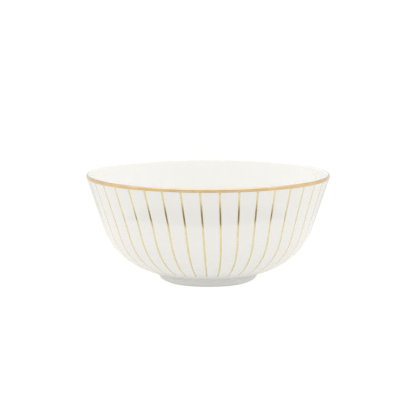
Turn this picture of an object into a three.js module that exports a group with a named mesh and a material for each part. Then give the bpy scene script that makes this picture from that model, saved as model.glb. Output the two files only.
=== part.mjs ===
// Porcelain serving bowl with a gilded lip and gilded pinstripes down the outside.
// Millimetres, +Z up. The origin is the centre of the foot ring's flat bearing face.
import * as THREE from "three";

const degree = Math.PI / 180;

// The lip and the straight upper wall
const rimRadius = 115;
const bowlHeight = 102.1;
const lipRadius = 1.6;
const wallLean = 18.5 * degree;
const wallLength = 53;
const wallThickness = 3.8;

// The rounded shoulder, from the straight wall in to the foot ring
const shoulderPull = 30.5;
const undersidePull = 13.5;
const undersideRise = 14 * degree;

// The inside of the bowl
const floorHeight = 10.5;
const floorReach = 52;
const innerShoulderPull = 33;

// The foot ring and the recess inside it
const footHeight = 8.1;
const footTopRadius = 46.5;
const footBulgeRadius = 47.4;
const footBulgeHeight = 2.9;
const footBaseRadius = 37.5;
const footInnerRadius = 33.8;
const footEdge = 0.6;
const recessHeight = 5.6;
const recessShoulderHeight = 4.6;
const recessShoulderRadius = 33.2;
const recessFloorRadius = 31.4;

// The gilding. Gold fired on glaze is far thinner than a solid can be, so each line is a 0.2 mm strip.
const goldThickness = 0.2;
const goldGap = 0.1;
const bandDrop = 1.3;
const stripeCount = 40;
const stripeWidth = 1.9;
const stripeTopGap = 0.4;
const patternTurn = 5.2 * degree;
const patternDrift = 2.85 * degree;

// Facets. Two columns of facets to each stripe, so every stripe lies flat along the middle of one.
const columns = 2 * stripeCount;
const footSteps = 5;
const shoulderSteps = 10;
const stripeEndStep = 3;
const wallSteps = 4;
const lipOuterSteps = 4;
const lipInnerSteps = 3;

const porcelain = { color: 0xf1f0ea, roughness: 0.12, metalness: 0 };
const gold = { color: 0xd9b36a, roughness: 0.24, metalness: 1 };

// Every outline below is drawn in the plane of radius (x) and height (y).
const at = (radius, height) => new THREE.Vector2(radius, height);
const upWall = at(Math.sin(wallLean), Math.cos(wallLean));
const outOfWall = at(Math.cos(wallLean), -Math.sin(wallLean));
const along = (point, direction, distance) => point.clone().addScaledVector(direction, distance);

const lipCentre = at(rimRadius - lipRadius, bowlHeight - lipRadius);
const lipOuter = along(lipCentre, outOfWall, lipRadius);
const lipInner = along(lipCentre, outOfWall, -lipRadius);
const shoulderTop = along(lipOuter, upWall, -wallLength);
const footTop = at(footTopRadius, footHeight);

function shoulderOutline() {
  const rise = at(Math.cos(undersideRise), Math.sin(undersideRise));
  const curve = new THREE.CubicBezierCurve(
    footTop,
    along(footTop, rise, undersidePull),
    along(shoulderTop, upWall, -shoulderPull),
    shoulderTop,
  );
  return curve.getPoints(shoulderSteps);
}

function wallOutline() {
  return new THREE.LineCurve(shoulderTop, lipOuter).getPoints(wallSteps);
}

function lipArc(fromAngle, toAngle, steps, radius) {
  const angles = Array.from({ length: steps + 1 }, (_, i) => fromAngle + (i / steps) * (toAngle - fromAngle));
  return angles.map((angle) => along(lipCentre, at(Math.cos(angle), Math.sin(angle)), radius));
}

function insideOutline() {
  const wallFoot = along(shoulderTop, outOfWall, -wallThickness);
  const curve = new THREE.CubicBezierCurve(
    wallFoot,
    along(wallFoot, upWall, -innerShoulderPull),
    at(floorReach, floorHeight),
    at(0, floorHeight),
  );
  return curve.getPoints(shoulderSteps);
}

// From the axis across the recess and the bearing face, then up the foot's rounded outside to the shoulder.
function footOutline() {
  const outside = new THREE.QuadraticBezierCurve(
    at(footBaseRadius, 0),
    at(footBulgeRadius, footBulgeHeight),
    footTop,
  );
  return [
    at(0, recessHeight),
    at(recessFloorRadius, recessHeight),
    at(recessShoulderRadius, recessShoulderHeight),
    at(footInnerRadius, footEdge),
    at(footInnerRadius + footEdge, 0),
    ...outside.getPoints(footSteps).slice(0, -1),
  ];
}

// Turns an outline about the bowl's axis, with the first stripe on the middle of the first column of facets.
function turned(outline) {
  const geometry = new THREE.LatheGeometry(outline, columns, patternTurn - Math.PI / columns);
  return geometry.rotateX(Math.PI / 2);
}

// The pattern drifts round the bowl as it comes down from the lip, and the body's facets drift with it.
function drifted(geometry) {
  const position = geometry.getAttribute("position");
  const vertex = new THREE.Vector3();
  const axis = new THREE.Vector3(0, 0, 1);
  for (let i = 0; i < position.count; i++) {
    vertex.fromBufferAttribute(position, i);
    vertex.applyAxisAngle(axis, (patternDrift * (bowlHeight - vertex.z)) / (bowlHeight - footHeight));
    position.setXYZ(i, vertex.x, vertex.y, vertex.z);
  }
  return geometry;
}

// Moves each point of an open outline outward, square to the outline there.
function lifted(outline, distance) {
  return outline.map((point, i) => {
    const before = outline[Math.max(i - 1, 0)];
    const after = outline[Math.min(i + 1, outline.length - 1)];
    const direction = after.clone().sub(before).normalize();
    return along(point, at(direction.y, -direction.x), distance);
  });
}

function bowlBody() {
  const outline = [
    ...footOutline(),
    ...shoulderOutline(),
    ...wallOutline().slice(1),
    ...lipArc(-wallLean, Math.PI / 2, lipOuterSteps, lipRadius).slice(1),
    ...lipArc(Math.PI / 2, Math.PI - wallLean, lipInnerSteps, lipRadius).slice(1),
    ...insideOutline(),
  ];
  return drifted(turned(outline));
}

// The band starts just over the lip's crown and ends a little way down the outer wall.
function rimBand() {
  const crownStep = (Math.PI / 2 - wallLean) / lipInnerSteps;
  const face = (lift) => [
    along(along(lipOuter, upWall, -bandDrop), outOfWall, lift),
    ...lipArc(-wallLean, Math.PI / 2, lipOuterSteps, lipRadius + lift),
    ...lipArc(Math.PI / 2, Math.PI / 2 + crownStep, 1, lipRadius + lift).slice(1),
  ];
  const outer = face(goldGap + goldThickness);
  const inner = face(goldGap).reverse();
  return drifted(turned([...outer, ...inner, outer[0]]));
}

// Joins rings of four corners into one closed strip.
function strip(rings) {
  const position = rings.flatMap((ring) => ring.flatMap((corner) => corner.toArray()));
  const index = [0, 2, 1, 0, 3, 2];
  for (let ring = 0; ring < rings.length - 1; ring++) {
    for (let side = 0; side < 4; side++) {
      const a = 4 * ring + side;
      const b = 4 * ring + ((side + 1) % 4);
      index.push(a, b, b + 4, a, b + 4, a + 4);
    }
  }
  const last = 4 * (rings.length - 1);
  index.push(last, last + 1, last + 2, last, last + 2, last + 3);
  const geometry = new THREE.BufferGeometry();
  geometry.setAttribute("position", new THREE.Float32BufferAttribute(position, 3));
  geometry.setIndex(index);
  return geometry;
}

// One pinstripe lies on the shoulder and wall outline. It narrows towards the foot, as the radius does.
function stripe(number) {
  const top = along(lipOuter, upWall, -bandDrop - stripeTopGap);
  const outline = [...shoulderOutline().slice(stripeEndStep), ...wallOutline().slice(1, -1), top];
  const inner = lifted(outline, goldGap);
  const outer = lifted(outline, goldGap + goldThickness);
  const facetDepth = Math.cos(Math.PI / columns);
  const rings = outline.map((point, i) => {
    const halfWidth = (stripeWidth / 2) * (point.x / rimRadius);
    const corner = (p, side) => new THREE.Vector3(side * halfWidth, -p.x * facetDepth, p.y);
    return [corner(inner[i], 1), corner(inner[i], -1), corner(outer[i], -1), corner(outer[i], 1)];
  });
  const turn = patternTurn + ((number - 1) * 2 * Math.PI) / stripeCount;
  return drifted(strip(rings).rotateZ(turn));
}

function piece(name, geometry, finish) {
  const mesh = new THREE.Mesh(geometry, new THREE.MeshStandardMaterial(finish));
  mesh.name = name;
  return mesh;
}

const bowl = new THREE.Group();
bowl.add(piece("bowl_body", bowlBody(), porcelain));
bowl.add(piece("rim_gold_band", rimBand(), gold));
for (let number = 1; number <= stripeCount; number++) {
  const name = `gold_stripe_${String(number).padStart(2, "0")}`;
  bowl.add(piece(name, stripe(number), gold));
}

export default bowl;
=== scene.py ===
"""A porcelain serving bowl with a gilded lip and forty gilded pinstripes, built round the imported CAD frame.

Everything is in metres, +Z up, with the origin at the centre of the foot ring's bearing face.
An outline is a list of (radius, height) points. It is turned about the Z axis to make a surface, and every
piece of gold lies on the same outline as the porcelain under it.
"""
import math
import random

import bmesh
import bpy
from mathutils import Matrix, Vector, noise


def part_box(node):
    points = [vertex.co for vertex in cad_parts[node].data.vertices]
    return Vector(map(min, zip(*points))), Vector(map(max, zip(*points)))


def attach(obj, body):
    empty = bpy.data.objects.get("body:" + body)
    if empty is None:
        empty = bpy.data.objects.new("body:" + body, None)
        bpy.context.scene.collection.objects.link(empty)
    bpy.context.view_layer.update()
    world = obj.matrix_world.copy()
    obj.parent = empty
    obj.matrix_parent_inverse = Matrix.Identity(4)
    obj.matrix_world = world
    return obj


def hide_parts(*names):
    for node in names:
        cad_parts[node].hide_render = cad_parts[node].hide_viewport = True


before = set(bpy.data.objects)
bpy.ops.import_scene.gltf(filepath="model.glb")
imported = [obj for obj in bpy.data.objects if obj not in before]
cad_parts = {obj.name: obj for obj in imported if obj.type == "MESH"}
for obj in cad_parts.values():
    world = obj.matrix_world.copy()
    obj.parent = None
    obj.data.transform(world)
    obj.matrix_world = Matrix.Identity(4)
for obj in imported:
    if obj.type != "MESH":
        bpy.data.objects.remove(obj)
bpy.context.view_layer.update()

MM = 0.001
body_low, body_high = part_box("bowl_body")

# The lip and the straight upper wall
RIM_RADIUS = (body_high.x - body_low.x) / 2
BOWL_HEIGHT = body_high.z
LIP_RADIUS = 1.6 * MM
WALL_LEAN = math.radians(18.5)
WALL_LENGTH = 53 * MM
WALL_THICKNESS = 3.8 * MM

# The rounded shoulder, from the straight wall in to the foot ring
SHOULDER_PULL = 30.5 * MM
UNDERSIDE_PULL = 13.5 * MM
UNDERSIDE_RISE = math.radians(14)

# The inside of the bowl
FLOOR_HEIGHT = 10.5 * MM
FLOOR_REACH = 52 * MM
INNER_SHOULDER_PULL = 33 * MM

# The foot ring and the recess inside it
FOOT_HEIGHT = 8.1 * MM
FOOT_TOP_RADIUS = 46.5 * MM
FOOT_BULGE = (47.4 * MM, 2.9 * MM)
FOOT_BASE_RADIUS = 37.5 * MM
FOOT_INNER_RADIUS = 34 * MM
FOOT_EDGE = 0.7 * MM
GLAZE_FILLET = 0.9 * MM
RECESS_HEIGHT = 5.6 * MM
RECESS_FLOOR_RADIUS = 33.1 * MM
RECESS_FILLET = 1.8 * MM
RECESS_FLAT_SHARE = 0.9

# What firing does to the shape: how far the lip's oval departs either way from its mean, as a share of the
# radius, how far the lip dips in three places, and the phase of each wave round the bowl
WARP_OVAL = 0.0006
WARP_OVAL_PHASE = 0.7
WARP_DIP = 0.12 * MM
WARP_DIP_PHASE = -0.4

# The gilding, in relief on the glaze and sunk a little into it
GOLD_RELIEF = 0.045 * MM
GOLD_SINK = 0.04 * MM
PATTERN_TURN = math.radians(5.2)
PATTERN_DRIFT = math.radians(2.85)

# The rim band. Its lower edge wavers by a long wave and a short one. Each is a size and how fine it is.
BAND_DROP = 1.3 * MM
BAND_PAST_CROWN = math.radians(14)
BAND_WAVERS = ((0.09 * MM, 9), (0.05 * MM, 31))
BAND_EDGE_SLOPE = 1.6

# The pinstripes. One starts at this share of the shoulder's outline from the foot, or up to a share of one
# step later, and its top runs under the band. STRIPE_TAPER is the share of its width that shrinks with the
# radius, towards the foot. STRIPE_STRAY is how far round the bowl it strays, in radians.
STRIPE_COUNT = 40
STRIPE_SEED = 40
STRIPE_WIDTH = 1.9 * MM
STRIPE_START = 0.3
STRIPE_LATE_START = 0.5
STRIPE_UNDER_BAND = 0.35 * MM
STRIPE_TOP_STEP = 0.5 * MM
STRIPE_TAPER = 0.8
STRIPE_STRAY = 0.0006
TIP_LENGTH = 1.1 * MM
TIP_BLUNTNESS = 0.02
TIP_STEPS = (0, 0.06, 0.16, 0.32, 0.55)
# Across one stripe: the place from edge to edge, and the share of the full relief there
STRIPE_SECTION = ((-1, 0), (-0.8, 0.65), (-0.4, 0.95), (0, 1), (0.4, 0.95), (0.8, 0.65), (1, 0))
STRIPE_BACK_WIDTH = 0.9
# Each edge wavers by shares of half the width, along a wave of this length and one this many times shorter
STRIPE_WAVE = 7 * MM
STRIPE_TIMES_SHORTER = 3.7
STRIPE_WAVERS = (0.09, 0.05)
WAVE_STARTS = (0, 50)

# The porcelain's colours: two close whites of the glaze, a darker grey painted as shade in the crease where
# the foot meets the wall, and two of the bare clay
GLAZE_WHITES = ((0.80, 0.793, 0.771, 1), (0.792, 0.787, 0.767, 1))
CREASE_SHADE_GREY = (0.64, 0.635, 0.62, 1)
BARE_CLAYS = ((0.70, 0.67, 0.61, 1), (0.77, 0.75, 0.70, 1))
# How far the painted shade in the crease goes towards that darker grey
CREASE_SHADE_SHARE = 0.6
GLAZE_ROUGHNESS = (0.055, 0.085)
WORN_ROUGHNESS = 0.06
CLAY_ROUGHNESS = 0.72
GLAZE_IOR = 1.53

# Where the porcelain changes: how high the clay is bare on the foot ring and how much that wanders, how far
# from the foot's junction the painted shade in the crease reaches, the radii over which the well begins, and
# the rings in it
BARE_HEIGHT = 0.12 * MM
BARE_WANDER = 0.2 * MM
BARE_EDGE = 0.12 * MM
BARE_PAST_FOOT = 1 * MM
CREASE_SHADE_REACH = (0.4 * MM, 1.9 * MM)
CREASE_SHADE_TOP = (1.5 * MM, 3 * MM)
WELL_RADII = (30 * MM, 70 * MM)
WELL_LOWEST = (9 * MM, 9.6 * MM)
WELL_RING_SPACING = 5.5 * MM

# The gold's colours, where it is cool and where it is warm. It lies thicker, and so deeper, on the rim.
RIM_GOLD = ((0.67, 0.49, 0.27, 1), (0.73, 0.55, 0.315, 1))
STRIPE_GOLD = ((0.73, 0.61, 0.32, 1), (0.79, 0.675, 0.37, 1))
GOLD_ROUGHNESS = (0.07, 0.15)
# How finely the brush marks lie along X, Y and Z: they are drawn out downwards on the stripes only
RIM_STREAKS = (1, 1, 1)
STRIPE_STREAKS = (1, 1, 0.12)

# How large the random patches are in the glaze, the bare clay, the gold, the floor and the arc
WHITE_PATCH = 60 * MM
GLOSS_PATCH = 25 * MM
FLOW_PATCH = 7 * MM
# The painted shade in the crease is uneven in patches this large
CREASE_SHADE_PATCH = 9 * MM
WEAR_PATCH = 1.2 * MM
BARE_EDGE_PATCH = 3 * MM
CLAY_PATCH = 0.5 * MM
GRIT_PATCH = 0.35 * MM
GOLD_PATCH = 9 * MM
BRUSH_PATCH = 1.1 * MM
FILM_PATCH = 2.2 * MM
FLOOR_PATCH = 400 * MM
ARC_PATCH = 80 * MM
# The wear's patches are drawn out along Y
WEAR_STREAKS = (1, 0.25, 1)
# The values of the noise at which a patch turns wholly to one or the other of its two looks
PATCH_ENDS = (0.3, 0.7)
BRUSH_ENDS = (0.25, 0.75)
FAINT_ENDS = (0.2, 0.8)
# The weakest that the painted shade in the crease gets, as a share of its full strength
CREASE_SHADE_WEAKEST = 0.6

# How deep the bumps are: the glaze's flow, the rings in the well, the bare clay's grit and the gold's film
FLOW_DEPTH = 0.02 * MM
RING_DEPTH = 0.004 * MM
GRIT_DEPTH = 0.05 * MM
FILM_DEPTH = 0.012 * MM

# Fineness of the meshes
BODY_COLUMNS = 360
SHOULDER_STEPS = 30
WALL_STEPS = 16
LIP_STEPS = 12
FILLET_STEPS = 6
FOOT_STEPS = 14
RECESS_STEPS = 6
BAND_DROP_STEPS = 5
BAND_CROWN_STEPS = 16
STUDIO_COLUMNS = 96

# The studio. The camera stands in front of the bowl, towards -Y, and looks a little down at it. Its distance
# and its elevation are from the bowl's middle, and the frame is this wide at that distance.
CAMERA_DISTANCE = 2.835
CAMERA_ELEVATION = math.radians(8.12)
FRAME_WIDTH = 0.3969
MIDDLE_HEIGHT = 50.5 * MM
AIM = Vector((0.00173, 0, 0.0674))
SENSOR_WIDTH = 36
FAR_CLIP = 100

# The floor. Its glow is weaker under the bowl, fades from near it to far from it, and is stronger well to
# its left and right. Each goes with the distances over which it changes.
FLOOR_RADIUS = 12
FLOOR_LEVEL = -0.05 * MM
FLOOR_GREYS = ((0.84, 0.84, 0.84, 1), (0.86, 0.86, 0.855, 1))
FLOOR_ROUGHNESS = 0.85
GLOW_TINT = (1, 0.99, 0.96, 1)
GLOW_UNDER = 0.7
GLOW_UNDER_RADII = (40 * MM, 60 * MM)
GLOW_NEAR = 1.05
GLOW_FAR = 0.5
GLOW_FADE_RADII = (150 * MM, 400 * MM)
GLOW_BESIDE = 0.35
GLOW_BESIDE_REACH = (200 * MM, 320 * MM)
# How much of the floor is glow, and how much and how bright it is to the camera
GLOW_SHARE = 0.6
GLOW_SHARE_SEEN = 0.92
FLOOR_SEEN_AS = 1.04
SEEN_TINT = (1, 1, 1, 1)

# The light: the sky all round, what is added overhead and at the two sides, and how far up and how far
# sideways a direction points where each begins and is whole
SKY = 0.9
SKY_TINT = (1, 0.995, 0.985, 1)
SKY_OVERHEAD = 0.75
SKY_OVERHEAD_FROM = (0.55, 0.95)
SKY_SIDES = 0.25
SKY_SIDES_FROM = (0.5, 1.0)

# The lamp, a broad soft one overhead and a little to the front
LAMP = 0.58
LAMP_TINT = (1, 0.985, 0.96)
LAMP_SPREAD = math.radians(110)
LAMP_LEAN = math.radians(12)

# A dim brown arc on the floor in front of the bowl, which only reflections show: how far it is turned from
# the front, how far its centre is set back from the bowl's axis, the radii between which its two edges fade,
# the angles from its middle between which its ends fade, the distance from the mirroring surface over which
# it fades out, its height, its brightness and its colours
ARC_TURN = math.radians(-3)
ARC_SET_BACK = 33 * MM
ARC_INNER = (200.5 * MM, 203.5 * MM)
ARC_OUTER = (216 * MM, 240 * MM)
ARC_ENDS = (math.radians(60), math.radians(71))
ARC_REACH = (121 * MM, 147 * MM)
ARC_HEIGHT = 1 * MM
ARC_GLOW = 0.34
ARC_TONES = ((1, 0.77, 0.43, 1), (1, 0.80, 0.47, 1))


# ---------------------------------------------------------------- outlines

def up_wall(distance):
    """The step that far along the straight wall, towards the lip."""
    return Vector((math.sin(WALL_LEAN), math.cos(WALL_LEAN))) * distance


def out_of_wall(distance):
    """The step that far square to the straight wall, away from the bowl."""
    return Vector((math.cos(WALL_LEAN), -math.sin(WALL_LEAN))) * distance


LIP_CENTRE = Vector((RIM_RADIUS - LIP_RADIUS, BOWL_HEIGHT - LIP_RADIUS))
LIP_OUTER = LIP_CENTRE + out_of_wall(LIP_RADIUS)
SHOULDER_TOP = LIP_OUTER - up_wall(WALL_LENGTH)
FOOT_TOP = Vector((FOOT_TOP_RADIUS, FOOT_HEIGHT))


def bezier(points, steps):
    """Points along a cubic curve, both ends included."""
    a, b, c, d = points
    out = []
    for i in range(steps + 1):
        t = i / steps
        s = 1 - t
        out.append(a * s ** 3 + b * 3 * s * s * t + c * 3 * s * t * t + d * t ** 3)
    return out


def straight(start, end, steps):
    return [start.lerp(end, i / steps) for i in range(steps + 1)]


def arc(centre, radius, start, end, steps):
    angles = [start + (end - start) * i / steps for i in range(steps + 1)]
    return [centre + Vector((math.cos(a), math.sin(a))) * radius for a in angles]


def rounded_corner(before, corner, after, radius):
    """The arc of that radius that rounds off a corner between two straight edges."""
    into = (before - corner).normalized()
    out_of = (after - corner).normalized()
    half = into.angle(out_of) / 2
    reach = radius / math.tan(half)
    centre = corner + (into + out_of).normalized() * (radius / math.sin(half))
    first = corner + into * reach - centre
    last = corner + out_of * reach - centre
    turn = math.atan2(first.x * last.y - first.y * last.x, first.dot(last))
    start = math.atan2(first.y, first.x)
    return arc(centre, radius, start, start + turn, FILLET_STEPS)


def shoulder_outline():
    rise = Vector((math.cos(UNDERSIDE_RISE), math.sin(UNDERSIDE_RISE)))
    return bezier(
        (FOOT_TOP, FOOT_TOP + rise * UNDERSIDE_PULL, SHOULDER_TOP - up_wall(SHOULDER_PULL), SHOULDER_TOP),
        SHOULDER_STEPS,
    )


def wall_outline():
    return straight(SHOULDER_TOP, LIP_OUTER, WALL_STEPS)


def inside_outline():
    """From the inside of the lip down the wall and across the floor to the axis."""
    lip_inner = LIP_CENTRE - out_of_wall(LIP_RADIUS)
    wall_foot = SHOULDER_TOP - out_of_wall(WALL_THICKNESS)
    floor = Vector((0, FLOOR_HEIGHT))
    curve = bezier(
        (wall_foot, wall_foot - up_wall(INNER_SHOULDER_PULL), Vector((FLOOR_REACH, FLOOR_HEIGHT)), floor),
        SHOULDER_STEPS,
    )
    return straight(lip_inner, wall_foot, WALL_STEPS)[1:] + curve[1:]


def foot_outline():
    """From the axis across the recess, round the foot ring's bearing face and up to the glaze line."""
    recess_centre = Vector((0, RECESS_HEIGHT))
    recess_corner = Vector((RECESS_FLOOR_RADIUS, RECESS_HEIGHT))
    inner_edge = Vector((FOOT_INNER_RADIUS, 0))
    outer_edge = Vector((FOOT_BASE_RADIUS, 0))
    bulge = Vector(FOOT_BULGE)
    # Both inner points lie two thirds of the way to the bulge, which makes the curve a quadratic one
    outside = bezier(
        (outer_edge, outer_edge.lerp(bulge, 2 / 3), FOOT_TOP.lerp(bulge, 2 / 3), FOOT_TOP),
        FOOT_STEPS,
    )
    return (
        straight(recess_centre, recess_centre.lerp(recess_corner, RECESS_FLAT_SHARE), RECESS_STEPS)
        + rounded_corner(recess_centre, recess_corner, inner_edge, RECESS_FILLET)
        + rounded_corner(recess_corner, inner_edge, outer_edge, FOOT_EDGE)
        + outside[:-2]
        + rounded_corner(outside[-3], FOOT_TOP, shoulder_outline()[1], GLAZE_FILLET)
    )


def lip_outline():
    quarter = arc(LIP_CENTRE, LIP_RADIUS, -WALL_LEAN, math.pi / 2, LIP_STEPS)
    return quarter + arc(LIP_CENTRE, LIP_RADIUS, math.pi / 2, math.pi - WALL_LEAN, LIP_STEPS)[1:]


def outward(outline):
    """The direction square to an open outline at each of its points, to the right of its travel."""
    out = []
    last = len(outline) - 1
    for i in range(len(outline)):
        along = (outline[min(i + 1, last)] - outline[max(i - 1, 0)]).normalized()
        out.append(Vector((along.y, -along.x)))
    return out


# ---------------------------------------------------------------- surfaces

def kiln_warp(point):
    """The slight settling that firing leaves: an oval and three low dips, both growing towards the lip."""
    share = max(point.z / BOWL_HEIGHT, 0)
    angle = math.atan2(point.y, point.x)
    oval = 1 - WARP_OVAL * share * share * (1 - math.cos(2 * angle + WARP_OVAL_PHASE))
    dip = WARP_DIP * share ** 3 * (1 + math.cos(3 * angle + WARP_DIP_PHASE)) / 2
    return Vector((point.x * oval, point.y * oval, point.z - dip))


def on_bowl(radius, height, angle):
    """A point of the bowl, with its angle measured from the front (-Y) towards +X."""
    return kiln_warp(Vector((radius * math.sin(angle), -radius * math.cos(angle), height)))


def drift(height):
    """How far round the bowl the pattern has moved at a height, measured from the lip."""
    return PATTERN_DRIFT * (BOWL_HEIGHT - height) / (BOWL_HEIGHT - FOOT_HEIGHT)


def piece(name, bm, material):
    """Makes a smooth-shaded object of a bmesh, on the bowl's one body."""
    bmesh.ops.recalc_face_normals(bm, faces=bm.faces)
    mesh = bpy.data.meshes.new(name)
    bm.to_mesh(mesh)
    bm.free()
    mesh.shade_smooth()
    mesh.materials.append(material)
    made = bpy.data.objects.new(name, mesh)
    bpy.context.scene.collection.objects.link(made)
    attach(made, "root")
    return made


def bridge(bm, first, second):
    """Faces between two closed loops of the same length."""
    count = len(first)
    for i in range(count):
        j = (i + 1) % count
        bm.faces.new((first[i], first[j], second[j], second[i]))


def turned_body(outline):
    """Turns an outline that starts and ends on the axis."""
    bm = bmesh.new()
    angles = [2 * math.pi * i / BODY_COLUMNS for i in range(BODY_COLUMNS)]
    bottom = bm.verts.new(on_bowl(0, outline[0].y, 0))
    top = bm.verts.new(on_bowl(0, outline[-1].y, 0))
    loops = [[bm.verts.new(on_bowl(p.x, p.y, a)) for a in angles] for p in outline[1:-1]]
    for first, second in zip(loops, loops[1:]):
        bridge(bm, first, second)
    for i in range(BODY_COLUMNS):
        j = (i + 1) % BODY_COLUMNS
        bm.faces.new((bottom, loops[0][j], loops[0][i]))
        bm.faces.new((top, loops[-1][i], loops[-1][j]))
    return bm


# ---------------------------------------------------------------- pieces

def make_bowl_body(material):
    outline = (
        foot_outline()
        + shoulder_outline()[1:]
        + wall_outline()[1:]
        + lip_outline()[1:]
        + inside_outline()
    )
    body = piece("bowl_body_glazed", turned_body(outline), material)
    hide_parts("bowl_body")
    return body


def band_relief(place, count):
    """How high the rim band stands at one of the points across it. It slopes to nothing at both edges."""
    from_edge = min(place, count - 1 - place)
    return GOLD_RELIEF * min(1, BAND_EDGE_SLOPE * from_edge / BAND_DROP_STEPS)


def make_rim_band(material):
    """A ring of gold over the lip. Its lower edge wavers a little, as a line brushed on a wheel does."""
    crown = arc(LIP_CENTRE, LIP_RADIUS, -WALL_LEAN, math.pi / 2 + BAND_PAST_CROWN, BAND_CROWN_STEPS)
    columns = 2 * BODY_COLUMNS
    rings = []
    bm = bmesh.new()
    for i in range(columns):
        angle = 2 * math.pi * i / columns
        spot = Vector((math.sin(angle), math.cos(angle), 0))
        waver = sum(size * noise.noise(spot * waves) for size, waves in BAND_WAVERS)
        lower = LIP_OUTER - up_wall(BAND_DROP + waver)
        outline = straight(lower, LIP_OUTER, BAND_DROP_STEPS)[:-1] + crown
        directions = outward(outline)
        relief = [band_relief(k, len(outline)) for k in range(len(outline))]
        face = [p + d * lift for p, d, lift in zip(outline, directions, relief)]
        back = [p - d * GOLD_SINK for p, d in zip(outline, directions)]
        rings.append([bm.verts.new(on_bowl(p.x, p.y, angle)) for p in face + back[::-1]])
    for i in range(columns):
        bridge(bm, rings[i], rings[(i + 1) % columns])
    band = piece("rim_band_gilding", bm, material)
    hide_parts("rim_gold_band")
    return band


def stripe_path(late):
    """The part of the outline that a pinstripe covers, from its tip to just under the rim band."""
    first = round(STRIPE_START * SHOULDER_STEPS)
    curve = shoulder_outline()[first:]
    curve[0] = curve[0].lerp(curve[1], late)
    tip = [curve[0].lerp(curve[1], share) for share in TIP_STEPS]
    under_band = LIP_OUTER - up_wall(BAND_DROP - STRIPE_UNDER_BAND)
    wall = [p for p in wall_outline()[1:] if p.y < under_band.y - STRIPE_TOP_STEP]
    return tip + curve[1:] + wall + [under_band]


def stripe_width(radius, travelled):
    """How wide a pinstripe is at a radius and at a distance from its rounded tip."""
    taper = 1 - STRIPE_TAPER + STRIPE_TAPER * radius / RIM_RADIUS
    short_of_full = max(1 - travelled / TIP_LENGTH, 0)
    return STRIPE_WIDTH * taper * math.sqrt(max(1 - short_of_full ** 2, TIP_BLUNTNESS))


def stripe_waver(seed, side, travelled):
    """What a brush held by hand does to a pinstripe's width at one place, as a factor."""
    spot = seed + Vector((side, travelled / STRIPE_WAVE, 0))
    long_wave, short_wave = STRIPE_WAVERS
    return 1 + long_wave * noise.noise(spot) + short_wave * noise.noise(spot * STRIPE_TIMES_SHORTER)


def make_stripe(number, material, dice):
    """One pinstripe. Its two edges waver separately, and it narrows towards the foot to a rounded tip."""
    path = stripe_path(dice.uniform(0, STRIPE_LATE_START))
    directions = outward(path)
    seed = Vector((dice.uniform(*WAVE_STARTS), dice.uniform(*WAVE_STARTS), 0))
    turn = PATTERN_TURN + 2 * math.pi * (number - 1) / STRIPE_COUNT + dice.gauss(0, STRIPE_STRAY)
    bm = bmesh.new()
    rings = []
    travelled = 0
    for i, point in enumerate(path):
        travelled += (point - path[i - 1]).length if i else 0
        middle = turn + drift(point.y)
        half_turn = stripe_width(point.x, travelled) / 2 / point.x
        ring = []
        for side, lift in STRIPE_SECTION:
            raised = point + directions[i] * (GOLD_RELIEF * lift)
            angle = middle + side * stripe_waver(seed, side, travelled) * half_turn
            ring.append(on_bowl(raised.x, raised.y, angle))
        sunk = point - directions[i] * GOLD_SINK
        for side in (STRIPE_BACK_WIDTH, -STRIPE_BACK_WIDTH):
            ring.append(on_bowl(sunk.x, sunk.y, middle + side * half_turn))
        rings.append([bm.verts.new(p) for p in ring])
    for first, second in zip(rings, rings[1:]):
        bridge(bm, first, second)
    bm.faces.new(rings[0])
    bm.faces.new(rings[-1][::-1])
    stripe = piece(f"pinstripe_{number:02d}", bm, material)
    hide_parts(f"gold_stripe_{number:02d}")
    return stripe


# ---------------------------------------------------------------- materials

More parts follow.
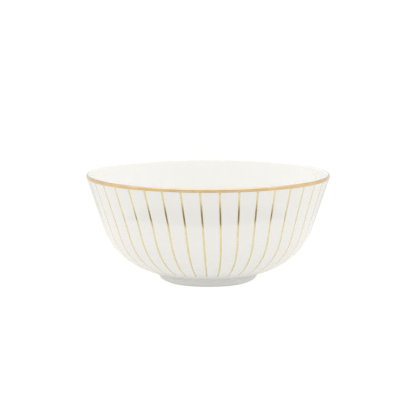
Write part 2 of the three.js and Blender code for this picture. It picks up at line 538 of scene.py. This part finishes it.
class Nodes:
    """The node tree of a material or the world, with short calls that make a node and link its inputs."""

    def __init__(self, owner):
        owner.use_nodes = True
        self.owner = owner
        self.tree = owner.node_tree
        self.shader = self.tree.nodes.get("Principled BSDF") or self.tree.nodes["Background"]
        place = self.tree.nodes.new("ShaderNodeTexCoord")
        self.object_point = place.outputs["Object"]
        self.direction = place.outputs["Generated"]

    def feed(self, socket, value):
        """Links a socket to another, or sets it to a plain value."""
        if isinstance(value, bpy.types.NodeSocket):
            self.tree.links.new(value, socket)
        else:
            socket.default_value = value

    def add(self, kind, inputs, **settings):
        """Makes a node, with its settings, and feeds its inputs."""
        node = self.tree.nodes.new(kind)
        for key, value in settings.items():
            setattr(node, key, value)
        for key, value in inputs.items():
            self.feed(node.inputs[key], value)
        return node

    def math(self, operation, a, b=0.0):
        return self.add("ShaderNodeMath", {0: a, 1: b}, operation=operation).outputs[0]

    def axes(self, vector):
        return self.add("ShaderNodeSeparateXYZ", {"Vector": vector}).outputs

    def length(self, x, y):
        squares = self.math("MULTIPLY", x, x), self.math("MULTIPLY", y, y)
        return self.math("SQRT", self.math("ADD", *squares))

    def ramp(self, value, low, high, start=0.0, end=1.0):
        """Maps value from low..high to start..end, smoothly and without passing either."""
        inputs = {"Value": value, "From Min": low, "From Max": high, "To Min": start, "To Max": end}
        return self.add("ShaderNodeMapRange", inputs, interpolation_type="SMOOTHSTEP").outputs[0]

    def mix(self, share, first, second):
        """A number between two others."""
        return self.add("ShaderNodeMix", {"Factor": share, "A": first, "B": second}).outputs[0]

    def blend(self, share, first, second):
        """A colour between two others."""
        node = self.add("ShaderNodeMix", {"Factor": share}, data_type="RGBA")
        self.feed(node.inputs[6], first)
        self.feed(node.inputs[7], second)
        return node.outputs[2]

    def grain(self, size, detail=2.0, stretch=(1, 1, 1)):
        """Soft random patches about that size across, from 0 to 1."""
        scaled = self.add("ShaderNodeMapping", {"Vector": self.object_point, "Scale": stretch})
        inputs = {"Vector": scaled.outputs[0], "Scale": 1 / size, "Detail": detail, "Roughness": 0.55}
        return self.add("ShaderNodeTexNoise", inputs).outputs["Fac"]

    def bump(self, height, distance, strength=1.0, normal=None):
        inputs = {"Height": height, "Distance": distance, "Strength": strength}
        if normal is not None:
            inputs["Normal"] = normal
        return self.add("ShaderNodeBump", inputs).outputs[0]

    def set(self, **inputs):
        """Feeds the shader's own sockets."""
        for key, value in inputs.items():
            self.feed(self.shader.inputs[key.replace("_", " ")], value)

    def finish_with(self, share, first, second):
        """Makes the surface a mix of two shaders."""
        mix = self.add("ShaderNodeMixShader", {0: share, 1: first, 2: second})
        self.feed(self.tree.nodes["Material Output"].inputs["Surface"], mix.outputs[0])


def bare_clay(n, radius, z):
    """Where the foot ring's bearing face was wiped clean of glaze, up to a slightly ragged line."""
    on_foot = n.ramp(radius, FOOT_TOP_RADIUS, FOOT_TOP_RADIUS + BARE_PAST_FOOT, 1.0, 0.0)
    edge_height = n.math("ADD", BARE_HEIGHT, n.math("MULTIPLY", n.grain(BARE_EDGE_PATCH), BARE_WANDER))
    low = n.ramp(n.math("SUBTRACT", z, edge_height), 0.0, BARE_EDGE, 1.0, 0.0)
    return n.math("MULTIPLY", low, on_foot)


def painted_crease_shade(n, radius, z):
    """Painted shade, uneven, along the crease where the foot meets the wall."""
    off_junction = n.math("ABSOLUTE", n.math("SUBTRACT", radius, FOOT_TOP_RADIUS))
    near_foot = n.ramp(z, FOOT_HEIGHT + CREASE_SHADE_TOP[0], FOOT_HEIGHT + CREASE_SHADE_TOP[1], 1.0, 0.0)
    shade_at_junction = n.math("MULTIPLY", n.ramp(off_junction, *CREASE_SHADE_REACH, 1.0, 0.0), near_foot)
    uneven = n.ramp(n.grain(CREASE_SHADE_PATCH), *FAINT_ENDS, CREASE_SHADE_WEAKEST, 1.0)
    return n.math("MULTIPLY", shade_at_junction, uneven)


def porcelain():
    """White porcelain under a clear glaze. Painted shade darkens the glaze a little in the crease where the
    foot meets the wall, the well is a touch worn and faintly ringed, and the foot ring's bearing face is
    bare, matte and creamy.
    The wear is also on the outer underside by the foot, which lies within the same radius and height."""
    n = Nodes(bpy.data.materials.new("glazed_porcelain"))
    x, y, z = n.axes(n.object_point)
    radius = n.length(x, y)
    bare = bare_clay(n, radius, z)

    white = n.blend(n.ramp(n.grain(WHITE_PATCH), *PATCH_ENDS), *GLAZE_WHITES)
    # The glaze's white, darkened by painted shade in the crease where the foot meets the wall
    glazed = n.blend(n.math("MULTIPLY", painted_crease_shade(n, radius, z), CREASE_SHADE_SHARE), white, CREASE_SHADE_GREY)
    clay = n.blend(n.grain(CLAY_PATCH, detail=3.0), *BARE_CLAYS)
    colour = n.blend(bare, glazed, clay)

    in_well = n.math("MULTIPLY", n.ramp(radius, *WELL_RADII, 1.0, 0.0), n.ramp(z, *WELL_LOWEST))
    worn = n.math("MULTIPLY", in_well, n.grain(WEAR_PATCH, detail=4.0, stretch=WEAR_STREAKS))
    clean = n.ramp(n.grain(GLOSS_PATCH), *PATCH_ENDS, *GLAZE_ROUGHNESS)
    gloss = n.math("ADD", clean, n.math("MULTIPLY", worn, WORN_ROUGHNESS))
    roughness = n.mix(bare, gloss, CLAY_ROUGHNESS)

    flow = n.bump(n.grain(FLOW_PATCH, detail=1.0), FLOW_DEPTH)
    throwing = n.math("SINE", n.math("MULTIPLY", radius, 2 * math.pi / WELL_RING_SPACING))
    ringed = n.bump(n.math("MULTIPLY", throwing, in_well), RING_DEPTH, normal=flow)
    gritty = n.math("MULTIPLY", n.grain(GRIT_PATCH, detail=4.0), bare)
    grit = n.bump(gritty, GRIT_DEPTH, normal=ringed)

    n.set(Base_Color=colour, Roughness=roughness, Normal=grit, IOR=GLAZE_IOR)
    return n.owner


def fired_gold(name, streaks, cool, warm):
    """Bright gold fired on glaze: cool and warm patches, fine brush marks and a slightly uneven film."""
    n = Nodes(bpy.data.materials.new(name))
    tone = n.ramp(n.grain(GOLD_PATCH, detail=3.0), *PATCH_ENDS)
    colour = n.blend(tone, cool, warm)
    brushed = n.grain(BRUSH_PATCH, detail=4.0, stretch=streaks)
    roughness = n.ramp(brushed, *BRUSH_ENDS, *GOLD_ROUGHNESS)
    film = n.bump(n.grain(FILM_PATCH, stretch=streaks), FILM_DEPTH)
    n.set(Base_Color=colour, Metallic=1.0, Roughness=roughness, Normal=film)
    return n.owner


def floor_glow(n):
    """The floor's own brightness, from place to place."""
    x, y, _ = n.axes(n.object_point)
    radius = n.length(x, y)
    fading = n.ramp(radius, *GLOW_FADE_RADII, GLOW_NEAR, GLOW_FAR)
    shaded = n.math("MULTIPLY", fading, n.ramp(radius, *GLOW_UNDER_RADII, GLOW_UNDER, 1.0))
    return n.math("ADD", shaded, n.ramp(n.math("ABSOLUTE", x), *GLOW_BESIDE_REACH, 0.0, GLOW_BESIDE))


def studio_floor():
    """A pale backlit sheet, brightest near the bowl. The camera sees it as nearly even white."""
    n = Nodes(bpy.data.materials.new("studio_floor"))
    tone = n.ramp(n.grain(FLOOR_PATCH, detail=3.0), *FAINT_ENDS)
    n.set(Base_Color=n.blend(tone, *FLOOR_GREYS), Roughness=FLOOR_ROUGHNESS)
    seen = n.add("ShaderNodeLightPath", {}).outputs["Is Camera Ray"]
    strength = n.mix(seen, floor_glow(n), FLOOR_SEEN_AS)
    tint = n.blend(seen, GLOW_TINT, SEEN_TINT)
    glow = n.add("ShaderNodeEmission", {"Color": tint, "Strength": strength})
    n.finish_with(n.mix(seen, GLOW_SHARE, GLOW_SHARE_SEEN), n.shader.outputs[0], glow.outputs[0])
    return n.owner


def arc_material():
    """A dim, evenly glowing arc about its own centre, with soft edges and soft ends."""
    n = Nodes(bpy.data.materials.new("dim_arc"))
    x, y, _ = n.axes(n.object_point)
    radius = n.length(x, y)
    across = n.math("MULTIPLY", n.ramp(radius, *ARC_INNER), n.ramp(radius, *ARC_OUTER, 1.0, 0.0))
    from_middle = n.math("ABSOLUTE", n.math("ARCTAN2", x, n.math("MULTIPLY", y, -1.0)))
    along = n.ramp(from_middle, *ARC_ENDS, 1.0, 0.0)
    near = n.ramp(n.add("ShaderNodeLightPath", {}).outputs["Ray Length"], *ARC_REACH, 1.0, 0.0)
    covered = n.math("MULTIPLY", across, n.math("MULTIPLY", along, near))
    clear = n.add("ShaderNodeBsdfTransparent", {})
    tone = n.blend(n.grain(ARC_PATCH), *ARC_TONES)
    glow = n.add("ShaderNodeEmission", {"Color": tone, "Strength": ARC_GLOW})
    n.finish_with(covered, clear.outputs[0], glow.outputs[0])
    return n.owner


# ---------------------------------------------------------------- studio

def make_camera():
    """The camera aims a little above the bowl's middle, so the bowl sits low in the frame."""
    camera = bpy.data.objects.new("camera", bpy.data.cameras.new("camera"))
    bpy.context.scene.collection.objects.link(camera)
    middle = Vector((0, 0, MIDDLE_HEIGHT))
    back = Vector((0, -math.cos(CAMERA_ELEVATION), math.sin(CAMERA_ELEVATION)))
    camera.location = middle + back * CAMERA_DISTANCE
    camera.rotation_euler = (AIM - camera.location).to_track_quat("-Z", "Y").to_euler()
    camera.data.sensor_width = SENSOR_WIDTH
    camera.data.lens = SENSOR_WIDTH * CAMERA_DISTANCE / FRAME_WIDTH
    camera.data.clip_end = FAR_CLIP
    bpy.context.scene.camera = camera


def flat_ring(name, inner, outer, height, material):
    """A flat ring, or a disc if inner is 0. It is part of the studio."""
    bm = bmesh.new()
    angles = [2 * math.pi * i / STUDIO_COLUMNS for i in range(STUDIO_COLUMNS)]

    def circle(radius):
        return [bm.verts.new((radius * math.cos(a), radius * math.sin(a), height)) for a in angles]

    edge = circle(outer)
    if inner:
        bridge(bm, circle(inner), edge)
    else:
        bm.faces.new(edge)
    mesh = bpy.data.meshes.new(name)
    bm.to_mesh(mesh)
    bm.free()
    mesh.materials.append(material)
    ring = bpy.data.objects.new(name, mesh)
    bpy.context.scene.collection.objects.link(ring)
    return ring


def make_stage():
    """The floor, and the dim arc on it, which is there only for what mirrors it."""
    flat_ring("floor", 0, FLOOR_RADIUS, FLOOR_LEVEL, studio_floor())
    dim_arc = flat_ring("dim_arc", ARC_INNER[0], ARC_OUTER[1], ARC_HEIGHT, arc_material())
    dim_arc.location = (-ARC_SET_BACK * math.sin(ARC_TURN), ARC_SET_BACK * math.cos(ARC_TURN), 0)
    dim_arc.rotation_euler = (0, 0, ARC_TURN)
    dim_arc.visible_camera = False
    dim_arc.visible_diffuse = False
    dim_arc.visible_transmission = False
    dim_arc.visible_shadow = False


def make_sky():
    """Even light from all round, stronger overhead and at the two sides."""
    bpy.context.scene.world = bpy.data.worlds.new("studio")
    n = Nodes(bpy.context.scene.world)
    x, _, z = n.axes(n.direction)
    overhead = n.ramp(z, *SKY_OVERHEAD_FROM, 0.0, SKY_OVERHEAD)
    sides = n.ramp(n.math("ABSOLUTE", x), *SKY_SIDES_FROM, 0.0, SKY_SIDES)
    n.set(Color=SKY_TINT, Strength=n.math("ADD", n.math("ADD", overhead, sides), SKY))


def make_lamp():
    """A broad soft lamp overhead. Gloss and gold don't mirror it."""
    sun = bpy.data.lights.new("overhead", "SUN")
    sun.energy = LAMP
    sun.angle = LAMP_SPREAD
    sun.color = LAMP_TINT
    lamp = bpy.data.objects.new("overhead", sun)
    bpy.context.scene.collection.objects.link(lamp)
    lamp.rotation_euler = (LAMP_LEAN, 0, 0)
    lamp.visible_glossy = False


make_camera()
make_bowl_body(porcelain())
make_rim_band(fired_gold("rim_gold", RIM_STREAKS, *RIM_GOLD))
stripe_gold = fired_gold("stripe_gold", STRIPE_STREAKS, *STRIPE_GOLD)
stripe_dice = random.Random(STRIPE_SEED)
for stripe_number in range(1, STRIPE_COUNT + 1):
    make_stripe(stripe_number, stripe_gold, stripe_dice)
make_stage()
make_sky()
make_lamp()
bpy.context.scene.view_settings.view_transform = "Standard"
